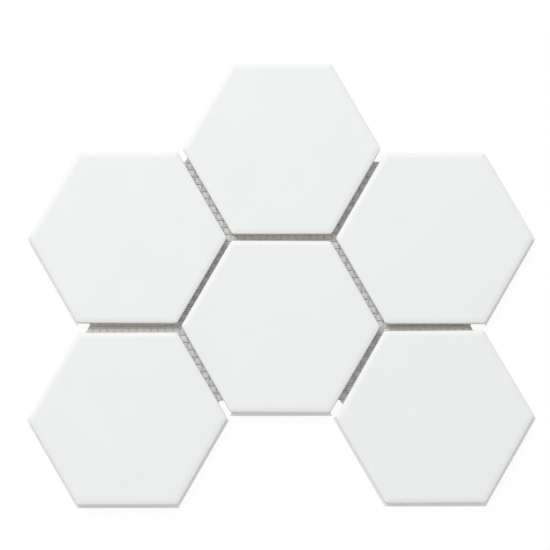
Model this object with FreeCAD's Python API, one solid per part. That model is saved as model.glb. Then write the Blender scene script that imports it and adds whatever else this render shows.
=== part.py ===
"""Mosaic sheet of six hexagon floor tiles on a glass-fibre backing net.

All sizes are in millimetres. +Z is up, and the sheet lies face up on the plane Z = 0. The
origin is the middle of the laying grid's rectangle, at the underside of the net. Columns of
tiles run along Y: the tiles have flat sides towards +Y and -Y, and corners towards +X and -X.
"""

import FreeCAD
import Part
import math
import os

# The tile
ACROSS_FLATS = 95.0
TILE_THICKNESS = 6.0
CORNER_RADIUS = 2.3  # upright corners, seen in plan
CUSHION_RUN = 2.0  # the wearing face slopes down to the walls from this far in
CUSHION_DROP = 0.6  # depth of that slope where it meets the walls
CROWN_SHARE = 0.9  # how much of the slope's free length the rounding at its top takes
EDGE_RADIUS = 1.0  # rounded edge between the slope and the walls
EDGE_LAND = 0.5  # upright wall below the rounded edge
WALL_DRAFT = 0.2  # each side wall leans in by this much from its upright part to the back
BACK_EDGE_CHAMFER = 0.4

# The key on the tile's back: a plain rim with ribs inside it
KEY_DEPTH = 0.4
KEY_RIM = 6.0
KEY_RIB_WIDTH = 4.0
KEY_GROOVE_WIDTH = 5.0

# The laying
JOINT = 3.5
STRAY = 1.0  # the most that a tile is off its cell's middle

# Each tile's cell in the grid: number of its column, and quarters of a pitch along Y
CELLS = {
    "tile_top": (0, 3),
    "tile_centre": (0, -1),
    "tile_upper_left": (-1, 1),
    "tile_lower_left": (-1, -3),
    "tile_upper_right": (1, 1),
    "tile_lower_right": (1, -3),
}

# Each tile's share of the stray along X and along Y, and its turn in degrees
LAID = {
    "tile_top": (0.4, 0.6, 0.0),
    "tile_centre": (-0.35, 0.45, -0.35),
    "tile_upper_left": (0.6, 0.6, -0.3),
    "tile_lower_left": (0.75, -1.0, 0.15),
    "tile_upper_right": (-0.45, 0.1, 0.0),
    "tile_lower_right": (-1.0, -0.2, 0.4),
}

# The net
YARN_PITCH = 4.0
WARP_WIDTH = 0.9
WEFT_WIDTH = 1.2
WARP_THICKNESS = 0.25
WEFT_THICKNESS = 0.25
NET_INSET = 6.0  # from the tiles' outer edges to the net's cut edge
NET_STRAY_X = -0.7  # how far the net is off the middle of the tiles
NET_STRAY_Y = 1.8

# What follows from these
PITCH = ACROSS_FLATS + JOINT
COLUMN_PITCH = PITCH * math.cos(math.radians(30))
CUSHION_SLOPE = math.atan2(CUSHION_DROP, CUSHION_RUN)
EDGE_REACH = EDGE_RADIUS * math.tan((math.pi / 2 - CUSHION_SLOPE) / 2)  # along slope and wall
CROWN_REACH = CROWN_SHARE * (math.hypot(CUSHION_RUN, CUSHION_DROP) - EDGE_REACH)
CROWN_RADIUS = CROWN_REACH / math.tan(CUSHION_SLOPE / 2)
DRAFT_HEIGHT = TILE_THICKNESS - CUSHION_DROP - EDGE_REACH - EDGE_LAND
BACK_Z = WARP_THICKNESS + WEFT_THICKNESS
FACE_Z = BACK_Z + TILE_THICKNESS


def hexagon(across_flats, z):
    """Corners of a hexagon at height z, centred on the Z axis, the first one on +X."""
    corner = across_flats / 2 / math.cos(math.radians(30))
    points = []
    for side in range(6):
        angle = math.radians(60 * side)
        points.append(FreeCAD.Vector(corner * math.cos(angle), corner * math.sin(angle), z))
    return points


def polygon_face(points):
    """Flat face inside a closed ring of points."""
    return Part.Face(Part.makePolygon(points + points[:1]))


def level_edges(solid, z):
    """Edges of a solid that lie at height z."""
    return [e for e in solid.Edges if all(abs(v.Z - z) < 1e-6 for v in e.Vertexes)]


def tile_blank():
    """Pressed hexagon with rounded corners, a cushioned face and walls drafted to the back."""
    blank = polygon_face(hexagon(ACROSS_FLATS, BACK_Z))
    blank = blank.extrude(FreeCAD.Vector(0, 0, TILE_THICKNESS))
    upright = [e for e in blank.Edges if e.BoundBox.ZLength > TILE_THICKNESS / 2]
    blank = blank.makeFillet(CORNER_RADIUS, upright)
    blank = blank.makeChamfer(CUSHION_DROP, CUSHION_RUN, level_edges(blank, FACE_Z))
    blank = blank.makeFillet(CROWN_RADIUS, level_edges(blank, FACE_Z))
    blank = blank.makeFillet(EDGE_RADIUS, level_edges(blank, FACE_Z - CUSHION_DROP))
    blank = blank.makeChamfer(DRAFT_HEIGHT, WALL_DRAFT, level_edges(blank, BACK_Z))
    return blank.makeChamfer(BACK_EDGE_CHAMFER, level_edges(blank, BACK_Z))


def key_grooves():
    """Shallow grooves that the ribs of the key stand between, cut off at the plain rim."""
    field_across = ACROSS_FLATS - 2 * (WALL_DRAFT + KEY_RIM)
    field = polygon_face(hexagon(field_across, BACK_Z))
    field = field.extrude(FreeCAD.Vector(0, 0, KEY_DEPTH))
    step = KEY_RIB_WIDTH + KEY_GROOVE_WIDTH
    count = max(1, int((field_across + KEY_RIB_WIDTH) // step))
    first = -(count - 1) * step / 2
    grooves = []
    for number in range(count):
        middle = first + number * step
        corner = FreeCAD.Vector(-ACROSS_FLATS, middle - KEY_GROOVE_WIDTH / 2, BACK_Z)
        strip = Part.makeBox(2 * ACROSS_FLATS, KEY_GROOVE_WIDTH, KEY_DEPTH, corner)
        grooves.append(strip.common(field))
    return grooves


def grid_point(name):
    """Middle of a tile's cell in the laying grid."""
    column, quarters = CELLS[name]
    return FreeCAD.Vector(column * COLUMN_PITCH, quarters * PITCH / 4, 0)


def laid(tile, name):
    """A copy of the tile where it lies in the sheet, a little off its cell's middle."""
    across, along, turn = LAID[name]
    off = FreeCAD.Vector(across * STRAY, along * STRAY, 0)
    spin = FreeCAD.Rotation(FreeCAD.Vector(0, 0, 1), turn)
    move = FreeCAD.Placement(grid_point(name) + off, spin)
    copy = tile.copy()
    copy.transformShape(move.toMatrix(), True)
    return copy


def drawn_in(corners, distance):
    """Corners of a closed anticlockwise outline whose sides all move inwards."""
    moved = []
    for number, corner in enumerate(corners):
        along = (corner - corners[number - 1]).normalize()
        onward = (corners[(number + 1) % len(corners)] - corner).normalize()
        inward = FreeCAD.Vector(-along.y - onward.y, along.x + onward.x, 0)
        moved.append(corner + inward * (distance / (1 + along.dot(onward))))
    return moved


def net_outline():
    """Face that the net is cut to: the sheet's own outline, drawn in from the tiles' edges."""
    cells = []
    for name in CELLS:
        cell = polygon_face(hexagon(PITCH, 0))
        cell.translate(grid_point(name))
        cells.append(cell)
    sheet = cells[0].multiFuse(cells[1:]).removeSplitter().Faces[0]
    corners = [vertex.Point for vertex in sheet.OuterWire.OrderedVertexes]
    if sum(a.x * b.y - a.y * b.x for a, b in zip(corners, corners[1:])) < 0:
        corners.reverse()
    corners = drawn_in(corners, NET_INSET + JOINT / 2)
    outline = polygon_face(corners)
    outline.translate(FreeCAD.Vector(NET_STRAY_X, NET_STRAY_Y, 0))
    return outline


def yarns(outline, along_y, width, thickness, z):
    """Flat yarns of one direction, each from edge to edge of the outline along its middle."""
    box = outline.BoundBox
    low, high = (box.XMin, box.XMax) if along_y else (box.YMin, box.YMax)
    reach = box.DiagonalLength
    solids = []
    for number in range(math.ceil(low / YARN_PITCH), math.floor(high / YARN_PITCH) + 1):
        place = number * YARN_PITCH
        if along_y:
            line = Part.makeLine((place, -reach, 0), (place, reach, 0))
        else:
            line = Part.makeLine((-reach, place, 0), (reach, place, 0))
        for run in line.common(outline).Edges:
            if run.Length < 2 * YARN_PITCH:
                continue
            left = min(vertex.X for vertex in run.Vertexes)
            front = min(vertex.Y for vertex in run.Vertexes)
            if along_y:
                corner = FreeCAD.Vector(left - width / 2, front, z)
                solids.append(Part.makeBox(width, run.Length, thickness, corner))
            else:
                corner = FreeCAD.Vector(left, front - width / 2, z)
                solids.append(Part.makeBox(run.Length, width, thickness, corner))
    return Part.makeCompound(solids)


def build():
    """Every node of the sheet, by name."""
    tile = tile_blank().cut(key_grooves())
    nodes = {name: laid(tile, name) for name in CELLS}
    outline = net_outline()
    nodes["net_warp"] = yarns(outline, True, WARP_WIDTH, WARP_THICKNESS, 0)
    nodes["net_weft"] = yarns(outline, False, WEFT_WIDTH, WEFT_THICKNESS, WARP_THICKNESS)
    return nodes


os.makedirs("parts", exist_ok=True)
for node, shape in build().items():
    shape.exportStep(os.path.join("parts", node + ".step"))
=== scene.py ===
"""Studio scene of a mosaic sheet: six matt white hexagon floor tiles on a woven glass-fibre net.

All lengths are metres in the part's own frame, and all angles are degrees. +Z is up, the sheet
lies face up on Z = 0, and the origin is the middle of the laying grid. The tiles are the frame's
own solids and get their fired finish here. The net is woven here, yarn by yarn, on the same 4 mm
grid as its solids.
"""

import logging
import math
from dataclasses import dataclass
from enum import Enum

import bpy
from mathutils import Matrix, Vector


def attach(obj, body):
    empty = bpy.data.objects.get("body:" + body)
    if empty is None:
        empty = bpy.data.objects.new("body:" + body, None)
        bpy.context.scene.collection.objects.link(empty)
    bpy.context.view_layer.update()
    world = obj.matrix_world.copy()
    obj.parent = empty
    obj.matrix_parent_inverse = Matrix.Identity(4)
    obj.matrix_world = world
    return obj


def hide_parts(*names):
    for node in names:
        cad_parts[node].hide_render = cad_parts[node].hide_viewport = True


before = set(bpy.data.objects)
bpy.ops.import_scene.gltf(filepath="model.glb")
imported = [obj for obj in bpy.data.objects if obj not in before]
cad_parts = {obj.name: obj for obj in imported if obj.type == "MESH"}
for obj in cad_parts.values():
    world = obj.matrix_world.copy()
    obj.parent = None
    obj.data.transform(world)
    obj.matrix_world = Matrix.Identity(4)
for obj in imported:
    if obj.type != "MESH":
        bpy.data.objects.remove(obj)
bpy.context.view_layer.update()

MM = 0.001
WHITE = "#FFFFFF"
APOTHEM = math.cos(math.radians(30))  # of a hexagon whose corners are 1 from its middle
log = logging.getLogger("mosaic_sheet")

Colour = tuple[float, float, float, float]
Socket = bpy.types.NodeSocket


def srgb(code: str) -> Colour:
    """Turn an sRGB hex colour into the linear colour that shaders take.

    Args:
        code: Six hex digits after a hash sign.

    Returns:
        Linear red, green and blue, and an alpha of 1.
    """
    channels = [int(code[i : i + 2], 16) / 255 for i in (1, 3, 5)]
    linear = [c / 12.92 if c <= 0.04045 else ((c + 0.055) / 1.055) ** 2.4 for c in channels]
    return (*linear, 1.0)


def per_metre(size: float) -> float:
    """Give a noise texture's scale for blotches of this size in metres."""
    return 1 / size


def bands(period: float) -> float:
    """Give a wave texture's scale for bands that repeat after this many metres."""
    return math.pi / 10 / period


def direction(azimuth: float, elevation: float = 0.0) -> Vector:
    """Give the unit vector that points a given way.

    Args:
        azimuth: Degrees from +X towards +Y.
        elevation: Degrees up from the level.

    Returns:
        The vector.
    """
    turn, climb = math.radians(azimuth), math.radians(elevation)
    level = math.cos(climb)
    return Vector((math.cos(turn) * level, math.sin(turn) * level, math.sin(climb)))


def drawn_in(corners: list[Vector], distance: float) -> list[Vector]:
    """Move every side of an outline inwards.

    Args:
        corners: The outline's corners, anticlockwise from above.
        distance: How far the sides move.

    Returns:
        The corners of the smaller outline, in the same order.
    """
    moved = []
    for number, corner in enumerate(corners):
        along = (corner - corners[number - 1]).normalized()
        onward = (corners[(number + 1) % len(corners)] - corner).normalized()
        inward = Vector((-along.y - onward.y, along.x + onward.x, 0))
        moved.append(corner + inward * (distance / (1 + along.dot(onward))))
    return moved


def add_node(
    tree: bpy.types.NodeTree,
    kind: str,
    settings: dict[str, object] | None = None,
    inputs: dict[str | int, object] | None = None,
) -> bpy.types.Node:
    """Add a node with its settings, and set or link its inputs.

    Args:
        tree: The tree that the node goes into.
        kind: The node's type as bpy names it.
        settings: Its properties by name.
        inputs: Its inputs by name or number: an output socket is linked, a value is set.

    Returns:
        The new node.
    """
    node = tree.nodes.new(kind)
    for name, value in (settings or {}).items():
        setattr(node, name, value)
    for key, value in (inputs or {}).items():
        if isinstance(value, Socket):
            tree.links.new(value, node.inputs[key])
        else:
            node.inputs[key].default_value = value
    return node


def new_material(name: str) -> bpy.types.Material:
    """Make a material with an empty node tree.

    Args:
        name: The material's name.

    Returns:
        The material.
    """
    material = bpy.data.materials.new(name)
    material.use_nodes = True
    material.node_tree.nodes.clear()
    return material


def seen_share(tree: bpy.types.NodeTree) -> Socket:
    """Tell the rays that show a background from those that light the object.

    Args:
        tree: The tree that the nodes go into.

    Returns:
        A socket that is 1 for what is seen straight, in gloss or through glass, and 0 otherwise.
    """
    path = add_node(tree, "ShaderNodeLightPath").outputs
    seen = path["Is Camera Ray"]
    for ray in ("Is Glossy Ray", "Is Transmission Ray"):
        seen = add_node(
            tree, "ShaderNodeMath", {"operation": "MAXIMUM"}, {0: seen, 1: path[ray]}
        ).outputs[0]
    return seen


class Tile(Enum):
    """The six tiles, by the name of the solid that each one is."""

    TOP = "tile_top"
    CENTRE = "tile_centre"
    UPPER_LEFT = "tile_upper_left"
    LOWER_LEFT = "tile_lower_left"
    UPPER_RIGHT = "tile_upper_right"
    LOWER_RIGHT = "tile_lower_right"


# Each tile's cell in the laying grid: the number of its column, and quarters of a cell along Y
CELLS = {
    Tile.TOP: (0, 3),
    Tile.CENTRE: (0, -1),
    Tile.UPPER_LEFT: (-1, 1),
    Tile.LOWER_LEFT: (-1, -3),
    Tile.UPPER_RIGHT: (1, 1),
    Tile.LOWER_RIGHT: (1, -3),
}


class Strand(Enum):
    """The yarns of the net: two strands that twist round each flat filling yarn."""

    OVER = "net_warp_over"
    UNDER = "net_warp_under"
    FILLING = "net_weft_filling"


@dataclass(frozen=True)
class MattGlazedPorcelain:
    """Pressed and fired porcelain with a matt white glaze sprayed on its face.

    The glaze gives an even chalky white with a faint drift in tone and a fine orange peel. It
    thins over the rounded edge and ends part of the way down the walls, where the bare biscuit
    with its grain begins: beige on the flat walls towards +Y and -Y, and greyed by overspray on
    the walls towards +X and -X, which lead and trail on the glazing line. The back keeps a pale
    wash from the kiln. The glaze and the wash end in wandering lines.
    """

    glaze: str = "#ECEEED"
    glaze_shade: str = "#E8EAEA"
    thin_glaze: str = "#E7E4DD"
    biscuit: str = "#D4C09C"
    biscuit_shade: str = "#BEA67E"
    overspray: str = "#D5D5D3"
    kiln_wash: str = "#D9D8D4"

    # Heights over Z = 0. The wander adds to the height that the last four are compared with
    thin_from: float = 6.15 * MM
    thin_to: float = 5.2 * MM
    glaze_from: float = 3.9 * MM
    glaze_to: float = 4.15 * MM
    wash_from: float = 1.25 * MM
    wash_to: float = 1.05 * MM

    # How far a wall faces X where the overspray begins and where it is at its most
    spray_from: float = 0.3
    spray_to: float = 0.7
    spray_share: float = 0.8
    wash_share: float = 0.7

    # Sizes of the patterns, and how high they stand
    wander: float = 6 * MM
    wander_height: float = 1.2 * MM
    drift: float = 22 * MM
    peel: float = 1.4 * MM
    peel_height: float = 0.012 * MM
    grain: float = 0.5 * MM
    grain_height: float = 0.06 * MM

    biscuit_roughness: float = 0.88
    glaze_roughness: tuple[float, float] = (0.46, 0.58)
    ior: float = 1.5

    def material(self, name: str, place: tuple[float, float, float]) -> bpy.types.Material:
        """Build the material for one tile.

        Args:
            name: The material's name.
            place: Where on the endless pattern this tile is cut from, so that no two match.

        Returns:
            The material.
        """
        made = new_material(name)
        tree = made.node_tree
        given = add_node(tree, "ShaderNodeTexCoord").outputs
        height = add_node(
            tree, "ShaderNodeSeparateXYZ", inputs={0: given["Object"]}
        ).outputs["Z"]
        facing = add_node(
            tree, "ShaderNodeSeparateXYZ", inputs={0: given["Normal"]}
        ).outputs["X"]
        facing = add_node(
            tree, "ShaderNodeMath", {"operation": "ABSOLUTE"}, {0: facing}
        ).outputs[0]
        pattern = add_node(
            tree, "ShaderNodeMapping", inputs={"Vector": given["Object"], "Location": place}
        ).outputs["Vector"]

        # The patterns: the size of each and how finely it is broken up
        wander, tone, speckle, peel = (
            add_node(
                tree,
                "ShaderNodeTexNoise",
                inputs={"Vector": pattern, "Scale": per_metre(size), "Detail": detail},
            ).outputs["Fac"]
            for size, detail in (
                (self.wander, 3.0),
                (self.drift, 4.0),
                (self.grain, 2.0),
                (self.peel, 1.0),
            )
        )
        line = add_node(
            tree,
            "ShaderNodeMath",
            {"operation": "MULTIPLY_ADD"},
            {0: wander, 1: self.wander_height, 2: height},
        ).outputs[0]

        # Where each layer lies: what it goes by, where it begins and ends, and its most
        glazed, thin, sprayed, washed = (
            add_node(
                tree,
                "ShaderNodeMapRange",
                inputs={"Value": value, "From Min": start, "From Max": end, "To Max": most},
            ).outputs["Result"]
            for value, start, end, most in (
                (line, self.glaze_from, self.glaze_to, 1.0),
                (height, self.thin_from, self.thin_to, 1.0),
                (facing, self.spray_from, self.spray_to, self.spray_share),
                (line, self.wash_from, self.wash_to, self.wash_share),
            )
        )

        # The layers, each over the one before, on the glazed coat and on the bare body
        coat, body = srgb(self.glaze), srgb(self.biscuit)
        for share, layer in ((tone, self.glaze_shade), (thin, self.thin_glaze)):
            coat = add_node(
                tree, "ShaderNodeMix", {"data_type": "RGBA"}, {0: share, 6: coat, 7: srgb(layer)}
            ).outputs[2]
        for share, layer in (
            (speckle, self.biscuit_shade),
            (sprayed, self.overspray),
            (washed, self.kiln_wash),
        ):
            body = add_node(
                tree, "ShaderNodeMix", {"data_type": "RGBA"}, {0: share, 6: body, 7: srgb(layer)}
            ).outputs[2]
        colour = add_node(
            tree, "ShaderNodeMix", {"data_type": "RGBA"}, {0: glazed, 6: body, 7: coat}
        ).outputs[2]

        # Biscuit and glaze each have their own roughness and relief
        smooth, rough = self.glaze_roughness
        sheen = add_node(
            tree,
            "ShaderNodeMapRange",
            inputs={"Value": tone, "To Min": smooth, "To Max": rough},
        ).outputs["Result"]
        roughness, relief, depth = (
            add_node(
                tree, "ShaderNodeMix", {"data_type": "FLOAT"}, {0: glazed, 2: bare, 3: coated}
            ).outputs[0]
            for bare, coated in (
                (self.biscuit_roughness, sheen),
                (speckle, peel),
                (self.grain_height, self.peel_height),
            )
        )
        normal = add_node(
            tree, "ShaderNodeBump", inputs={"Height": relief, "Distance": depth}
        ).outputs["Normal"]
        shader = add_node(
            tree,
            "ShaderNodeBsdfPrincipled",
            inputs={
                "Base Color": colour,
                "Roughness": roughness,
                "Normal": normal,
                "IOR": self.ior,
            },
        ).outputs["BSDF"]
        add_node(tree, "ShaderNodeOutputMaterial", inputs={"Surface": shader})
        return made


@dataclass(frozen=True)
class GluedGlassFibre:
    """Spun glass-fibre yarn in a coat of dried dispersion glue.

    The filaments show as fine streaks along the yarn, drawn coarser than the real ones so that
    they show at all. Each streak is a bump whose groove is painted a darker grey, as painted
    shade.
    The glue gives off-white patches with a soft satin shine.
    """

    fibre: str = "#EEF0F1"
    # The darker grey painted into the grooves between filaments: painted shade
    groove_shade: str = "#C9CCCE"
    glue: str = "#E2E5E6"
    filament: float = 0.22 * MM
    filament_height: float = 0.04 * MM
    filament_strength: float = 0.8
    tangle: float = 1.5
    patch: float = 3.0 * MM

    # How dense the patches' noise is where the glue begins and where it is at its most
    glue_from: float = 0.45
    glue_to: float = 0.62
    glue_share: float = 0.75

    bare_roughness: float = 0.7
    glued_roughness: float = 0.42
    ior: float = 1.52

    def material(self, name: str, streaks: str) -> bpy.types.Material:
        """Build the material for yarns of one direction.

        Args:
            name: The material's name.
            streaks: The axis across the yarn, X or Y, along which the streaks follow each other.

        Returns:
            The material.
        """
        made = new_material(name)
        tree = made.node_tree
        where = add_node(tree, "ShaderNodeTexCoord").outputs["Object"]
        streak = add_node(
            tree,
            "ShaderNodeTexWave",
            {"wave_type": "BANDS", "bands_direction": streaks},
            {
                "Vector": where,
                "Scale": bands(self.filament),
                "Distortion": self.tangle,
                "Detail": 1.0,
                "Detail Scale": 1.5,
            },
        ).outputs["Fac"]
        blotch = add_node(
            tree,
            "ShaderNodeTexNoise",
            inputs={"Vector": where, "Scale": per_metre(self.patch), "Detail": 2.0},
        ).outputs["Fac"]
        glued = add_node(
            tree,
            "ShaderNodeMapRange",
            inputs={
                "Value": blotch,
                "From Min": self.glue_from,
                "From Max": self.glue_to,
                "To Max": self.glue_share,
            },
        ).outputs["Result"]
        # The fibre goes over the darker grey of the grooves, which is painted shade, then the glue
        # over both
        colour = srgb(self.groove_shade)
        for share, layer in ((streak, self.fibre), (glued, self.glue)):
            colour = add_node(
                tree, "ShaderNodeMix", {"data_type": "RGBA"}, {0: share, 6: colour, 7: srgb(layer)}
            ).outputs[2]
        roughness = add_node(
            tree,
            "ShaderNodeMapRange",
            inputs={
                "Value": glued,
                "To Min": self.bare_roughness,
                "To Max": self.glued_roughness,
            },
        ).outputs["Result"]
        normal = add_node(
            tree,
            "ShaderNodeBump",
            inputs={
                "Height": streak,
                "Distance": self.filament_height,
                "Strength": self.filament_strength,
            },
        ).outputs["Normal"]
        shader = add_node(
            tree,
            "ShaderNodeBsdfPrincipled",
            inputs={
                "Base Color": colour,
                "Roughness": roughness,
                "Normal": normal,
                "IOR": self.ior,
            },
        ).outputs["BSDF"]
        add_node(tree, "ShaderNodeOutputMaterial", inputs={"Surface": shader})
        return made


@dataclass(frozen=True)
class WhitePaper:
    """Matt white studio paper.

    Its lift is how far it is seen as full white. What is left of 1 takes light and shadow.
    """

    colour: str = WHITE
    lift: float = 0.93
    roughness: float = 0.95
    specular: float = 0.1

    def material(self, name: str) -> bpy.types.Material:
        """Build the material of one paper.

        Args:
            name: The material's name.

        Returns:
            The material.
        """
        made = new_material(name)
        tree = made.node_tree
        matt = add_node(
            tree,
            "ShaderNodeBsdfPrincipled",
            inputs={
                "Base Color": srgb(self.colour),
                "Roughness": self.roughness,
                "Specular IOR Level": self.specular,
            },
        ).outputs["BSDF"]
        white = add_node(tree, "ShaderNodeEmission", inputs={"Strength": 1.0}).outputs[0]
        share = add_node(
            tree, "ShaderNodeMath", {"operation": "MULTIPLY"}, {0: seen_share(tree), 1: self.lift}
        ).outputs[0]
        mixed = add_node(
            tree, "ShaderNodeMixShader", inputs={0: share, 1: matt, 2: white}
        ).outputs[0]
        add_node(tree, "ShaderNodeOutputMaterial", inputs={"Surface": mixed})
        return made


@dataclass
class TileSet:
    """The six fired tiles: the frame's own solids, each with its own cut of the glaze."""

    finish: MattGlazedPorcelain
    cut_step: tuple[float, float, float] = (0.37, 0.222, 0.0)

    def dress(self) -> list[bpy.types.Object]:
        """Give every tile its finish.

        Returns:
            The tiles' objects.
        """
        dressed = []
        for number, tile in enumerate(Tile):
            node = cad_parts[tile.value]
            place = tuple(number * step for step in self.cut_step)
            material = self.finish.material(f"matt_glazed_porcelain_{tile.name.lower()}", place)
            node.data.materials.clear()
            node.data.materials.append(material)
            dressed.append(node)
        return dressed


@dataclass
class BackingNet:
    """The leno-woven glass-fibre net that the tiles' backs are glued to.

    Two strands run along Y and twist round each flat filling yarn, which runs along X. The
    net is cut to the sheet's outline, drawn in from the tiles' edges.
    """

    strands: GluedGlassFibre
    filling: GluedGlassFibre

    # The laying grid, and how the net's outline lies in it
    across_flats: float = 95.0 * MM
    joint: float = 3.5 * MM
    inset: float = 6.0 * MM
    stray: tuple[float, float] = (-0.7 * MM, 1.8 * MM)

    # The yarns: a twisting strand keeps some of its rise between two crossings
    pitch: float = 4.0 * MM
    thickness: float = 0.5 * MM
    strand_width: float = 0.5 * MM
    strand_thickness: float = 0.16 * MM
    strand_pinch: float = 0.1
    strand_seed: int = 3
    swing: float = 0.24 * MM
    kept_rise: float = 0.45
    filling_width: float = 1.2 * MM
    filling_thickness: float = 0.17 * MM
    filling_pinch: float = 0.3
    filling_seed: int = 8
    yarn_sides: int = 6

    # How far a yarn wanders off its line and over what length, and the shortest one that stays
    wander: float = 0.45 * MM
    wander_length: float = 14.0 * MM
    shortest: float = 7.6 * MM
    points_to_pitch: int = 4

    @property
    def cell(self) -> float:
        """Give the distance between two tiles' middles across a joint."""
        return self.across_flats + self.joint

    def outline(self) -> list[Vector]:
        """Trace the net's cut edge.

        Returns:
            The corners, anticlockwise from above.
        """
        column_step = self.cell * APOTHEM
        corner = self.cell / 2 / APOTHEM

        # The sides of all cells, by where their middles are: one that two cells share goes
        sides: dict[tuple[int, int], tuple[Vector, Vector]] = {}
        for column, quarters in CELLS.values():
            middle = Vector((column * column_step, quarters * self.cell / 4, 0))
            ring = [middle + corner * direction(60 * number) for number in range(6)]
            for start, end in zip(ring, ring[1:] + ring[:1]):
                half_way = (start + end) / 2
                key = (round(half_way.x / MM), round(half_way.y / MM))
                if sides.pop(key, None) is None:
                    sides[key] = (start, end)

        # The sides that are left, one after another
        first, reached = sides.pop(next(iter(sides)))
        corners = [first]
        while sides:
            key = min(sides, key=lambda side: (sides[side][0] - reached).length)
            corners.append(reached)
            reached = sides.pop(key)[1]
        shift = Vector((*self.stray, 0))
        return [point + shift for point in drawn_in(corners, self.inset + self.joint / 2)]

    def blank(self, name: str) -> bpy.types.Object:
        """Make the flat piece that a modifier weaves the yarns of one kind on.

        Args:
            name: The object's name.

        Returns:
            An object whose mesh is one face, the net's outline.
        """
        mesh = bpy.data.meshes.new(name)
        corners = self.outline()
        mesh.from_pydata(corners, [], [list(range(len(corners)))])
        piece = bpy.data.objects.new(name, mesh)
        bpy.context.scene.collection.objects.link(piece)
        return piece

    def lines(self, tree: bpy.types.NodeTree, given: dict[str, Socket]) -> Socket:
        """Lay a straight line over the outline for each yarn.

        Args:
            tree: The tree that the nodes go into.
            given: The tree's inputs by name.

        Returns:
            The lines, as edges with a few points to a pitch.
        """
        # A square grid about the origin, as far as the outline's furthest side
        box = add_node(tree, "GeometryNodeBoundBox", inputs={0: given["Geometry"]}).outputs
        low, high = (
            add_node(
                tree, "ShaderNodeVectorMath", {"operation": "ABSOLUTE"}, {0: box[end]}
            ).outputs[0]
            for end in ("Min", "Max")
        )
        far = add_node(
            tree, "ShaderNodeVectorMath", {"operation": "MAXIMUM"}, {0: low, 1: high}
        ).outputs[0]
        far = add_node(tree, "ShaderNodeSeparateXYZ", inputs={0: far}).outputs
        reach = add_node(
            tree, "ShaderNodeMath", {"operation": "MAXIMUM"}, {0: far["X"], 1: far["Y"]}
        ).outputs[0]
        half = add_node(
            tree, "ShaderNodeMath", {"operation": "DIVIDE"}, {0: reach, 1: given["Pitch"]}
        ).outputs[0]
        half = add_node(tree, "ShaderNodeMath", {"operation": "CEIL"}, {0: half}).outputs[0]
        pitches = add_node(
            tree, "ShaderNodeMath", {"operation": "MULTIPLY"}, {0: half, 1: 2.0}
        ).outputs[0]
        side = add_node(
            tree, "ShaderNodeMath", {"operation": "MULTIPLY"}, {0: pitches, 1: given["Pitch"]}
        ).outputs[0]
        count, steps = (
            add_node(
                tree,
                "ShaderNodeMath",
                {"operation": "MULTIPLY_ADD"},
                {0: pitches, 1: points, 2: 1.0},
            ).outputs[0]
            for points in (1.0, self.points_to_pitch)
        )
        grid = add_node(
            tree,
            "GeometryNodeMeshGrid",
            inputs={"Size X": side, "Size Y": side, "Vertices X": count, "Vertices Y": steps},
        ).outputs["Mesh"]

        # Only its edges along the yarns stay
        ends = add_node(tree, "GeometryNodeInputMeshEdgeVertices").outputs
        edge = add_node(
            tree,
            "ShaderNodeVectorMath",
            {"operation": "SUBTRACT"},
            {0: ends["Position 1"], 1: ends["Position 2"]},
        ).outputs[0]
        edge = add_node(
            tree, "ShaderNodeVectorMath", {"operation": "ABSOLUTE"}, {0: edge}
        ).outputs[0]
        edge = add_node(tree, "ShaderNodeSeparateXYZ", inputs={0: edge}).outputs
        crosswise = add_node(
            tree,
            "FunctionNodeCompare",
            {"data_type": "FLOAT", "operation": "GREATER_THAN"},
            {0: edge["X"], 1: edge["Y"]},
        ).outputs[0]
        lines = add_node(
            tree,
            "GeometryNodeDeleteGeometry",
            {"domain": "EDGE", "mode": "EDGE_FACE"},
            {"Geometry": grid, "Selection": crosswise},
        ).outputs[0]
        turn = add_node(
            tree,
            "GeometryNodeSwitch",
            {"input_type": "FLOAT"},
            {0: given["Along X"], 1: 0.0, 2: -math.pi / 2},
        ).outputs[0]
        turn = add_node(tree, "ShaderNodeCombineXYZ", inputs={"Z": turn}).outputs[0]
        return add_node(
            tree, "GeometryNodeTransform", inputs={"Geometry": lines, "Rotation": turn}
        ).outputs[0]

    def cut(self, tree: bpy.types.NodeTree, given: dict[str, Socket], lines: Socket) -> Socket:
        """Cut the lines to the outline and leave out the stubs.

        Args:
            tree: The tree that the nodes go into.
            given: The tree's inputs by name.
            lines: The lines, as edges.

        Returns:
            What is left of the lines, as curves.
        """
        # A point whose ray straight down misses the outline's face is outside
        place = add_node(tree, "GeometryNodeInputPosition").outputs[0]
        above = add_node(
            tree, "ShaderNodeVectorMath", {"operation": "ADD"}, {0: place, 1: (0.0, 0.0, 1.0)}
        ).outputs[0]
        hit = add_node(
            tree,
            "GeometryNodeRaycast",
            inputs={
                "Target Geometry": given["Geometry"],
                "Source Position": above,
                "Ray Direction": (0.0, 0.0, -1.0),
                "Ray Length": 2.0,
            },
        ).outputs["Is Hit"]
        outside = add_node(
            tree, "FunctionNodeBooleanMath", {"operation": "NOT"}, {0: hit}
        ).outputs[0]
        lines = add_node(
            tree,
            "GeometryNodeDeleteGeometry",
            {"domain": "POINT", "mode": "ALL"},
            {"Geometry": lines, "Selection": outside},
        ).outputs[0]
        runs = add_node(tree, "GeometryNodeMeshToCurve", inputs={0: lines}).outputs[0]
        length = add_node(tree, "GeometryNodeSplineLength").outputs["Length"]
        stub = add_node(
            tree,
            "FunctionNodeCompare",
            {"data_type": "FLOAT", "operation": "LESS_THAN"},
            {0: length, 1: given["Shortest"]},
        ).outputs[0]
        return add_node(
            tree,
            "GeometryNodeDeleteGeometry",
            {"domain": "CURVE", "mode": "ALL"},
            {"Geometry": runs, "Selection": stub},
        ).outputs[0]

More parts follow.
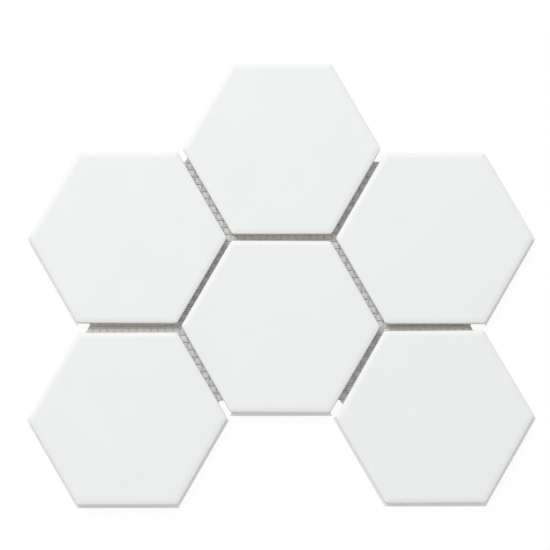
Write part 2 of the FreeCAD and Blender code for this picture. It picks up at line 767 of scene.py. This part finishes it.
    def bend(self, tree: bpy.types.NodeTree, given: dict[str, Socket], runs: Socket) -> Socket:
        """Give each yarn its course and its swell.

        It swings from one side to the other between two crossings, rises and thins at each
        crossing, and wanders a little off its line.

        Args:
            tree: The tree that the nodes go into.
            given: The tree's inputs by name.
            runs: The straight yarns, as curves.

        Returns:
            The bent yarns, as curves with a radius.
        """
        place = add_node(tree, "GeometryNodeInputPosition").outputs[0]
        parts = add_node(tree, "ShaderNodeSeparateXYZ", inputs={0: place}).outputs
        phase = add_node(
            tree,
            "GeometryNodeSwitch",
            {"input_type": "FLOAT"},
            {0: given["Along X"], 1: parts["Y"], 2: parts["X"]},
        ).outputs[0]
        for operation, term in (("MULTIPLY", math.pi), ("DIVIDE", given["Pitch"])):
            phase = add_node(
                tree, "ShaderNodeMath", {"operation": operation}, {0: phase, 1: term}
            ).outputs[0]
        side = add_node(tree, "ShaderNodeMath", {"operation": "COSINE"}, {0: phase}).outputs[0]
        crossing = add_node(
            tree, "ShaderNodeMath", {"operation": "MULTIPLY"}, {0: side, 1: side}
        ).outputs[0]

        scale = add_node(
            tree, "ShaderNodeMath", {"operation": "DIVIDE"}, {0: 1.0, 1: given["Wander Length"]}
        ).outputs[0]
        noise = add_node(
            tree,
            "ShaderNodeTexNoise",
            {"noise_dimensions": "4D"},
            {"Vector": place, "W": given["Seed"], "Scale": scale, "Detail": 1.0},
        ).outputs["Color"]
        wander = add_node(
            tree,
            "ShaderNodeVectorMath",
            {"operation": "MULTIPLY_ADD"},
            {0: noise, 1: (2.0, 2.0, 0.0), 2: (-1.0, -1.0, 0.0)},
        ).outputs[0]
        wander = add_node(
            tree,
            "ShaderNodeVectorMath",
            {"operation": "SCALE"},
            {"Vector": wander, "Scale": given["Wander"]},
        ).outputs[0]

        sideways = add_node(
            tree, "ShaderNodeMath", {"operation": "MULTIPLY"}, {0: given["Swing"], 1: side}
        ).outputs[0]
        lift = add_node(
            tree,
            "ShaderNodeMath",
            {"operation": "MULTIPLY_ADD"},
            {0: crossing, 1: 1 - self.kept_rise, 2: self.kept_rise},
        ).outputs[0]
        lift = add_node(
            tree, "ShaderNodeMath", {"operation": "MULTIPLY"}, {0: given["Rise"], 1: lift}
        ).outputs[0]
        course = add_node(
            tree, "ShaderNodeCombineXYZ", inputs={"X": sideways, "Z": lift}
        ).outputs[0]
        course = add_node(
            tree, "ShaderNodeVectorMath", {"operation": "ADD"}, {0: course, 1: wander}
        ).outputs[0]
        runs = add_node(
            tree, "GeometryNodeSetPosition", inputs={"Geometry": runs, "Offset": course}
        ).outputs[0]

        pinch = add_node(
            tree, "ShaderNodeMath", {"operation": "MULTIPLY"}, {0: given["Pinch"], 1: -1.0}
        ).outputs[0]
        swell = add_node(
            tree,
            "ShaderNodeMath",
            {"operation": "MULTIPLY_ADD"},
            {0: crossing, 1: pinch, 2: 1.0},
        ).outputs[0]
        return add_node(
            tree, "GeometryNodeSetCurveRadius", inputs={"Curve": runs, "Radius": swell}
        ).outputs[0]

    def fill_out(
        self, tree: bpy.types.NodeTree, given: dict[str, Socket], runs: Socket
    ) -> Socket:
        """Give each yarn its flat round body and its finish.

        Args:
            tree: The tree that the nodes go into.
            given: The tree's inputs by name.
            runs: The bent yarns, as curves with a radius.

        Returns:
            The yarns' mesh.
        """
        runs = add_node(
            tree, "GeometryNodeSetCurveNormal", {"mode": "Z_UP"}, {"Curve": runs}
        ).outputs[0]

        # A ring that is 1 across, scaled to the yarn's own width and thickness
        ring = add_node(
            tree,
            "GeometryNodeCurvePrimitiveCircle",
            inputs={"Resolution": self.yarn_sides, "Radius": 0.5},
        ).outputs[0]
        flat = add_node(
            tree,
            "ShaderNodeCombineXYZ",
            inputs={"X": given["Width"], "Y": given["Thickness"], "Z": 1.0},
        ).outputs[0]
        ring = add_node(
            tree, "GeometryNodeTransform", inputs={"Geometry": ring, "Scale": flat}
        ).outputs[0]
        yarn = add_node(
            tree,
            "GeometryNodeCurveToMesh",
            inputs={"Curve": runs, "Profile Curve": ring, "Fill Caps": True},
        ).outputs[0]
        yarn = add_node(tree, "GeometryNodeSetShadeSmooth", inputs={"Geometry": yarn}).outputs[0]
        yarn = add_node(tree, "GeometryNodeRealizeInstances", inputs={0: yarn}).outputs[0]
        return add_node(
            tree,
            "GeometryNodeSetMaterial",
            inputs={"Geometry": yarn, "Material": given["Material"]},
        ).outputs[0]

    def tree(self) -> bpy.types.NodeTree:
        """Build the tree that lays yarns across a face and bends them round each other.

        Returns:
            The node tree. Its inputs are the yarns' sizes, direction, seed and finish.
        """
        tree = bpy.data.node_groups.new("leno_yarns", "GeometryNodeTree")
        sizes = ("Pitch", "Width", "Thickness", "Swing", "Rise", "Pinch")
        sizes += ("Wander", "Wander Length", "Shortest")
        kinds = {"Geometry": "Geometry"} | dict.fromkeys(sizes, "Float")
        kinds |= {"Along X": "Bool", "Seed": "Int", "Material": "Material"}
        for name, kind in kinds.items():
            tree.interface.new_socket(name, in_out="INPUT", socket_type=f"NodeSocket{kind}")
        tree.interface.new_socket("Geometry", in_out="OUTPUT", socket_type="NodeSocketGeometry")
        given = {output.name: output for output in add_node(tree, "NodeGroupInput").outputs}
        runs = self.cut(tree, given, self.lines(tree, given))
        yarn = self.fill_out(tree, given, self.bend(tree, given, runs))
        add_node(tree, "NodeGroupOutput", inputs={"Geometry": yarn})
        return tree

    def kinds(self) -> dict[Strand, dict[str, object]]:
        """Work out what the tree is given for each kind of yarn.

        Returns:
            The tree's inputs by name, for each kind.
        """
        rise = (self.thickness - self.strand_thickness) / 2
        shared = {
            "Pitch": self.pitch,
            "Wander": self.wander,
            "Wander Length": self.wander_length,
            "Shortest": self.shortest,
        }
        strand = shared | {
            "Width": self.strand_width,
            "Thickness": self.strand_thickness,
            "Pinch": self.strand_pinch,
            "Along X": False,
            "Seed": self.strand_seed,
            "Material": self.strands.material("glued_glass_fibre_warp", "X"),
        }
        filling = shared | {
            "Width": self.filling_width,
            "Thickness": self.filling_thickness,
            "Pinch": self.filling_pinch,
            "Swing": 0.0,
            "Rise": 0.0,
            "Along X": True,
            "Seed": self.filling_seed,
            "Material": self.filling.material("glued_glass_fibre_weft", "Y"),
        }
        return {
            Strand.OVER: strand | {"Swing": self.swing, "Rise": rise},
            Strand.UNDER: strand | {"Swing": -self.swing, "Rise": -rise},
            Strand.FILLING: filling,
        }

    def weave(self) -> list[bpy.types.Object]:
        """Weave the net's yarns and put them in the place of its solids.

        Returns:
            One object for each kind of yarn.
        """
        tree = self.tree()
        sockets = {
            item.name: item.identifier
            for item in tree.interface.items_tree
            if item.in_out == "INPUT"
        }
        woven = []
        for strand, inputs in self.kinds().items():
            piece = self.blank(strand.value)
            modifier = piece.modifiers.new("yarns", "NODES")
            modifier.node_group = tree
            for name, value in inputs.items():
                modifier[sockets[name]] = value
            graph = bpy.context.evaluated_depsgraph_get()
            mesh = bpy.data.meshes.new_from_object(piece.evaluated_get(graph))
            piece.modifiers.remove(modifier)
            piece.data = mesh
            mesh.transform(Matrix.Translation((0, 0, self.thickness / 2)))
            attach(piece, "root")
            node = "net_weft" if strand is Strand.FILLING else "net_warp"
            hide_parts(node)
            woven.append(piece)
        return woven


@dataclass
class Studio:
    """The white papers under the sheet, the lamps and the camera."""

    floor: WhitePaper
    shadow_paper: WhitePaper
    underlay: WhitePaper
    underlay_outline: list[Vector]
    tiles: list[bpy.types.Object]

    # The papers: each has its own depth under Z = 0, so that no two are in one plane
    floor_side: float = 8.0
    floor_depth: float = 0.06 * MM
    strip_depth: float = 0.04 * MM
    underlay_depth: float = 0.02 * MM

    # The strips, which carry painted shadow: they are greyer and less lifted than the floor, so
    # they show a dark line on the near sides, and the real contact shadow falls on them too. Which
    # sides they lie along, how far in and out they go, and how much further out they go where the
    # side faces -Y than where it faces level
    near_sides: tuple[float, ...] = (-150.0, -90.0, -30.0)
    strip_inset: float = 7.0 * MM
    strip_reach: float = 0.5 * MM
    strip_slant: float = 0.8 * MM

    # The lamp, and its share of the light. The sky gives the rest
    key_share: float = 0.43
    key_azimuth: float = 120.0
    key_elevation: float = 50.0
    key_distance: float = 3.3
    key_size: float = 2.2

    # The camera: the way to it from what it looks at, its lens and sensor in mm
    camera_azimuth: float = -92.0
    camera_elevation: float = 84.0
    camera_distance: float = 2.5
    roll: float = -0.1
    lens: float = 297.0
    sensor: float = 36.0
    sight: float = 50.0
    aim: tuple[float, float, float] = (-3.45 * MM, 4.22 * MM, 6.5 * MM)

    def lay(self, name: str, corners: list[Vector], depth: float, paper: WhitePaper) -> None:
        """Lay a flat sheet of paper under the object.

        Args:
            name: The sheet's name.
            corners: Its corners, anticlockwise from above.
            depth: How far under the plane Z = 0 it lies.
            paper: Its finish.
        """
        mesh = bpy.data.meshes.new(name)
        points = [(corner.x, corner.y, -depth) for corner in corners]
        mesh.from_pydata(points, [], [list(range(len(points)))])
        mesh.materials.append(paper.material(name))
        sheet = bpy.data.objects.new(name, mesh)
        bpy.context.scene.collection.objects.link(sheet)

    def lay_papers(self) -> None:
        """Lay the floor, the strips of painted shadow along the near sides, and the underlay under
        the net.

        The floor is lifted to near white, the strips less, and the underlay not at all, so that
        the contact shadow on the sheet's near sides and the shade in its joints stay. The strips
        are also greyer than the floor, which paints a darker line along those sides.
        """
        half = self.floor_side / 2
        square = [Vector((x * half, y * half, 0)) for x, y in ((-1, -1), (1, -1), (1, 1), (-1, 1))]
        self.lay("floor", square, self.floor_depth, self.floor)
        # Each strip is a greyer, less lifted paper: painted shadow, with the real shade on it too
        for number, corners in enumerate(self.shadow_strips()):
            self.lay(f"strip_{number}", corners, self.strip_depth, self.shadow_paper)
        self.lay("underlay", self.underlay_outline, self.underlay_depth, self.underlay)

    def shadow_strips(self) -> list[list[Vector]]:
        """Trace a strip of painted shadow along every outer side that faces the near side of the
        sheet.

        Returns:
            The corners of each strip, anticlockwise from above.
        """
        # Each tile's middle, and how far its flat sides are from it
        places = []
        for tile in self.tiles:
            low, high = Vector(tile.bound_box[0]), Vector(tile.bound_box[6])
            places.append(((low + high) / 2, (high.y - low.y) / 2))
        strips = []
        for middle, flat in places:
            for facing in self.near_sides:
                left, right = (direction(facing + turn) / APOTHEM for turn in (-30, 30))
                out = (left + right) / 2
                beyond = middle + 2 * flat * out
                if any((other - beyond).length < flat for other, _ in places):
                    continue
                inner = flat - self.strip_inset
                outer = flat + self.strip_reach - self.strip_slant * out.y
                ring = (inner * left, outer * left, outer * right, inner * right)
                strips.append([middle + point for point in ring])
        return strips

    def light(self) -> None:
        """Hang one soft lamp up and to the left, and fill the rest from an even white sky."""
        # The lamp's power is what lights the level floor by its share of a full white
        towards = direction(self.key_azimuth, self.key_elevation)
        lamp = bpy.data.lights.new("key", "AREA")
        lamp.shape = "DISK"
        lamp.size = self.key_size
        spread = 1 + (self.key_size / 2 / self.key_distance) ** 2
        power = (math.pi * self.key_distance) ** 2 * spread * self.key_share
        lamp.energy = power / math.sin(math.radians(self.key_elevation))
        key = bpy.data.objects.new("key", lamp)
        key.location = towards * self.key_distance
        key.rotation_euler = towards.to_track_quat("Z", "Y").to_euler()
        bpy.context.scene.collection.objects.link(key)

        world = bpy.data.worlds.new("sky")
        world.use_nodes = True
        tree = world.node_tree
        tree.nodes.clear()
        fill, white = (
            add_node(
                tree, "ShaderNodeBackground", inputs={"Color": srgb(WHITE), "Strength": strength}
            ).outputs[0]
            for strength in (1 - self.key_share, 1.0)
        )
        sky = add_node(
            tree, "ShaderNodeMixShader", inputs={0: seen_share(tree), 1: fill, 2: white}
        ).outputs[0]
        add_node(tree, "ShaderNodeOutputWorld", inputs={"Surface": sky})
        bpy.context.scene.world = world

    def place_camera(self) -> None:
        """Set the camera over the sheet, leaning a little towards the near side."""
        back = direction(self.camera_azimuth, self.camera_elevation)
        side = Vector((0, 1, 0)).cross(back).normalized()
        data = bpy.data.cameras.new("camera")
        data.lens = self.lens
        data.sensor_width = self.sensor
        data.clip_end = self.sight
        camera = bpy.data.objects.new("camera", data)
        camera.location = Vector(self.aim) + back * self.camera_distance
        level = Matrix((side, back.cross(side), back)).transposed()
        rolled = Matrix.Rotation(math.radians(self.roll), 3, back)
        camera.rotation_euler = (rolled @ level).to_euler()
        bpy.context.scene.collection.objects.link(camera)
        bpy.context.scene.camera = camera

    def set_up(self) -> None:
        """Put the whole studio up and leave the view transform plain."""
        self.lay_papers()
        self.light()
        self.place_camera()
        bpy.context.scene.view_settings.view_transform = "Standard"


def main() -> None:
    """Build the sheet's pieces in order, then the studio around them."""
    logging.basicConfig(level=logging.INFO, format="%(name)s: %(message)s")
    tiles = TileSet(MattGlazedPorcelain()).dress()
    net = BackingNet(
        strands=GluedGlassFibre(),
        # The filling's darker grooves are painted shade too
        filling=GluedGlassFibre(fibre="#F0EFEC", groove_shade="#CCCAC6", glue="#E6E4E0"),
    )
    for piece in (*tiles, *net.weave()):
        triangles = sum(len(face.vertices) - 2 for face in piece.data.polygons)
        log.info("%s: %d triangles", piece.name, triangles)
    studio = Studio(
        floor=WhitePaper(),
        # The strips' paper is greyer and less lifted than the floor: painted shadow along the near
        # sides
        shadow_paper=WhitePaper(colour="#ECEEF0", lift=0.28),
        underlay=WhitePaper(colour="#E9ECF1", lift=0.0),
        underlay_outline=net.outline(),
        tiles=tiles,
    )
    studio.set_up()


if __name__ == "__main__":
    main()
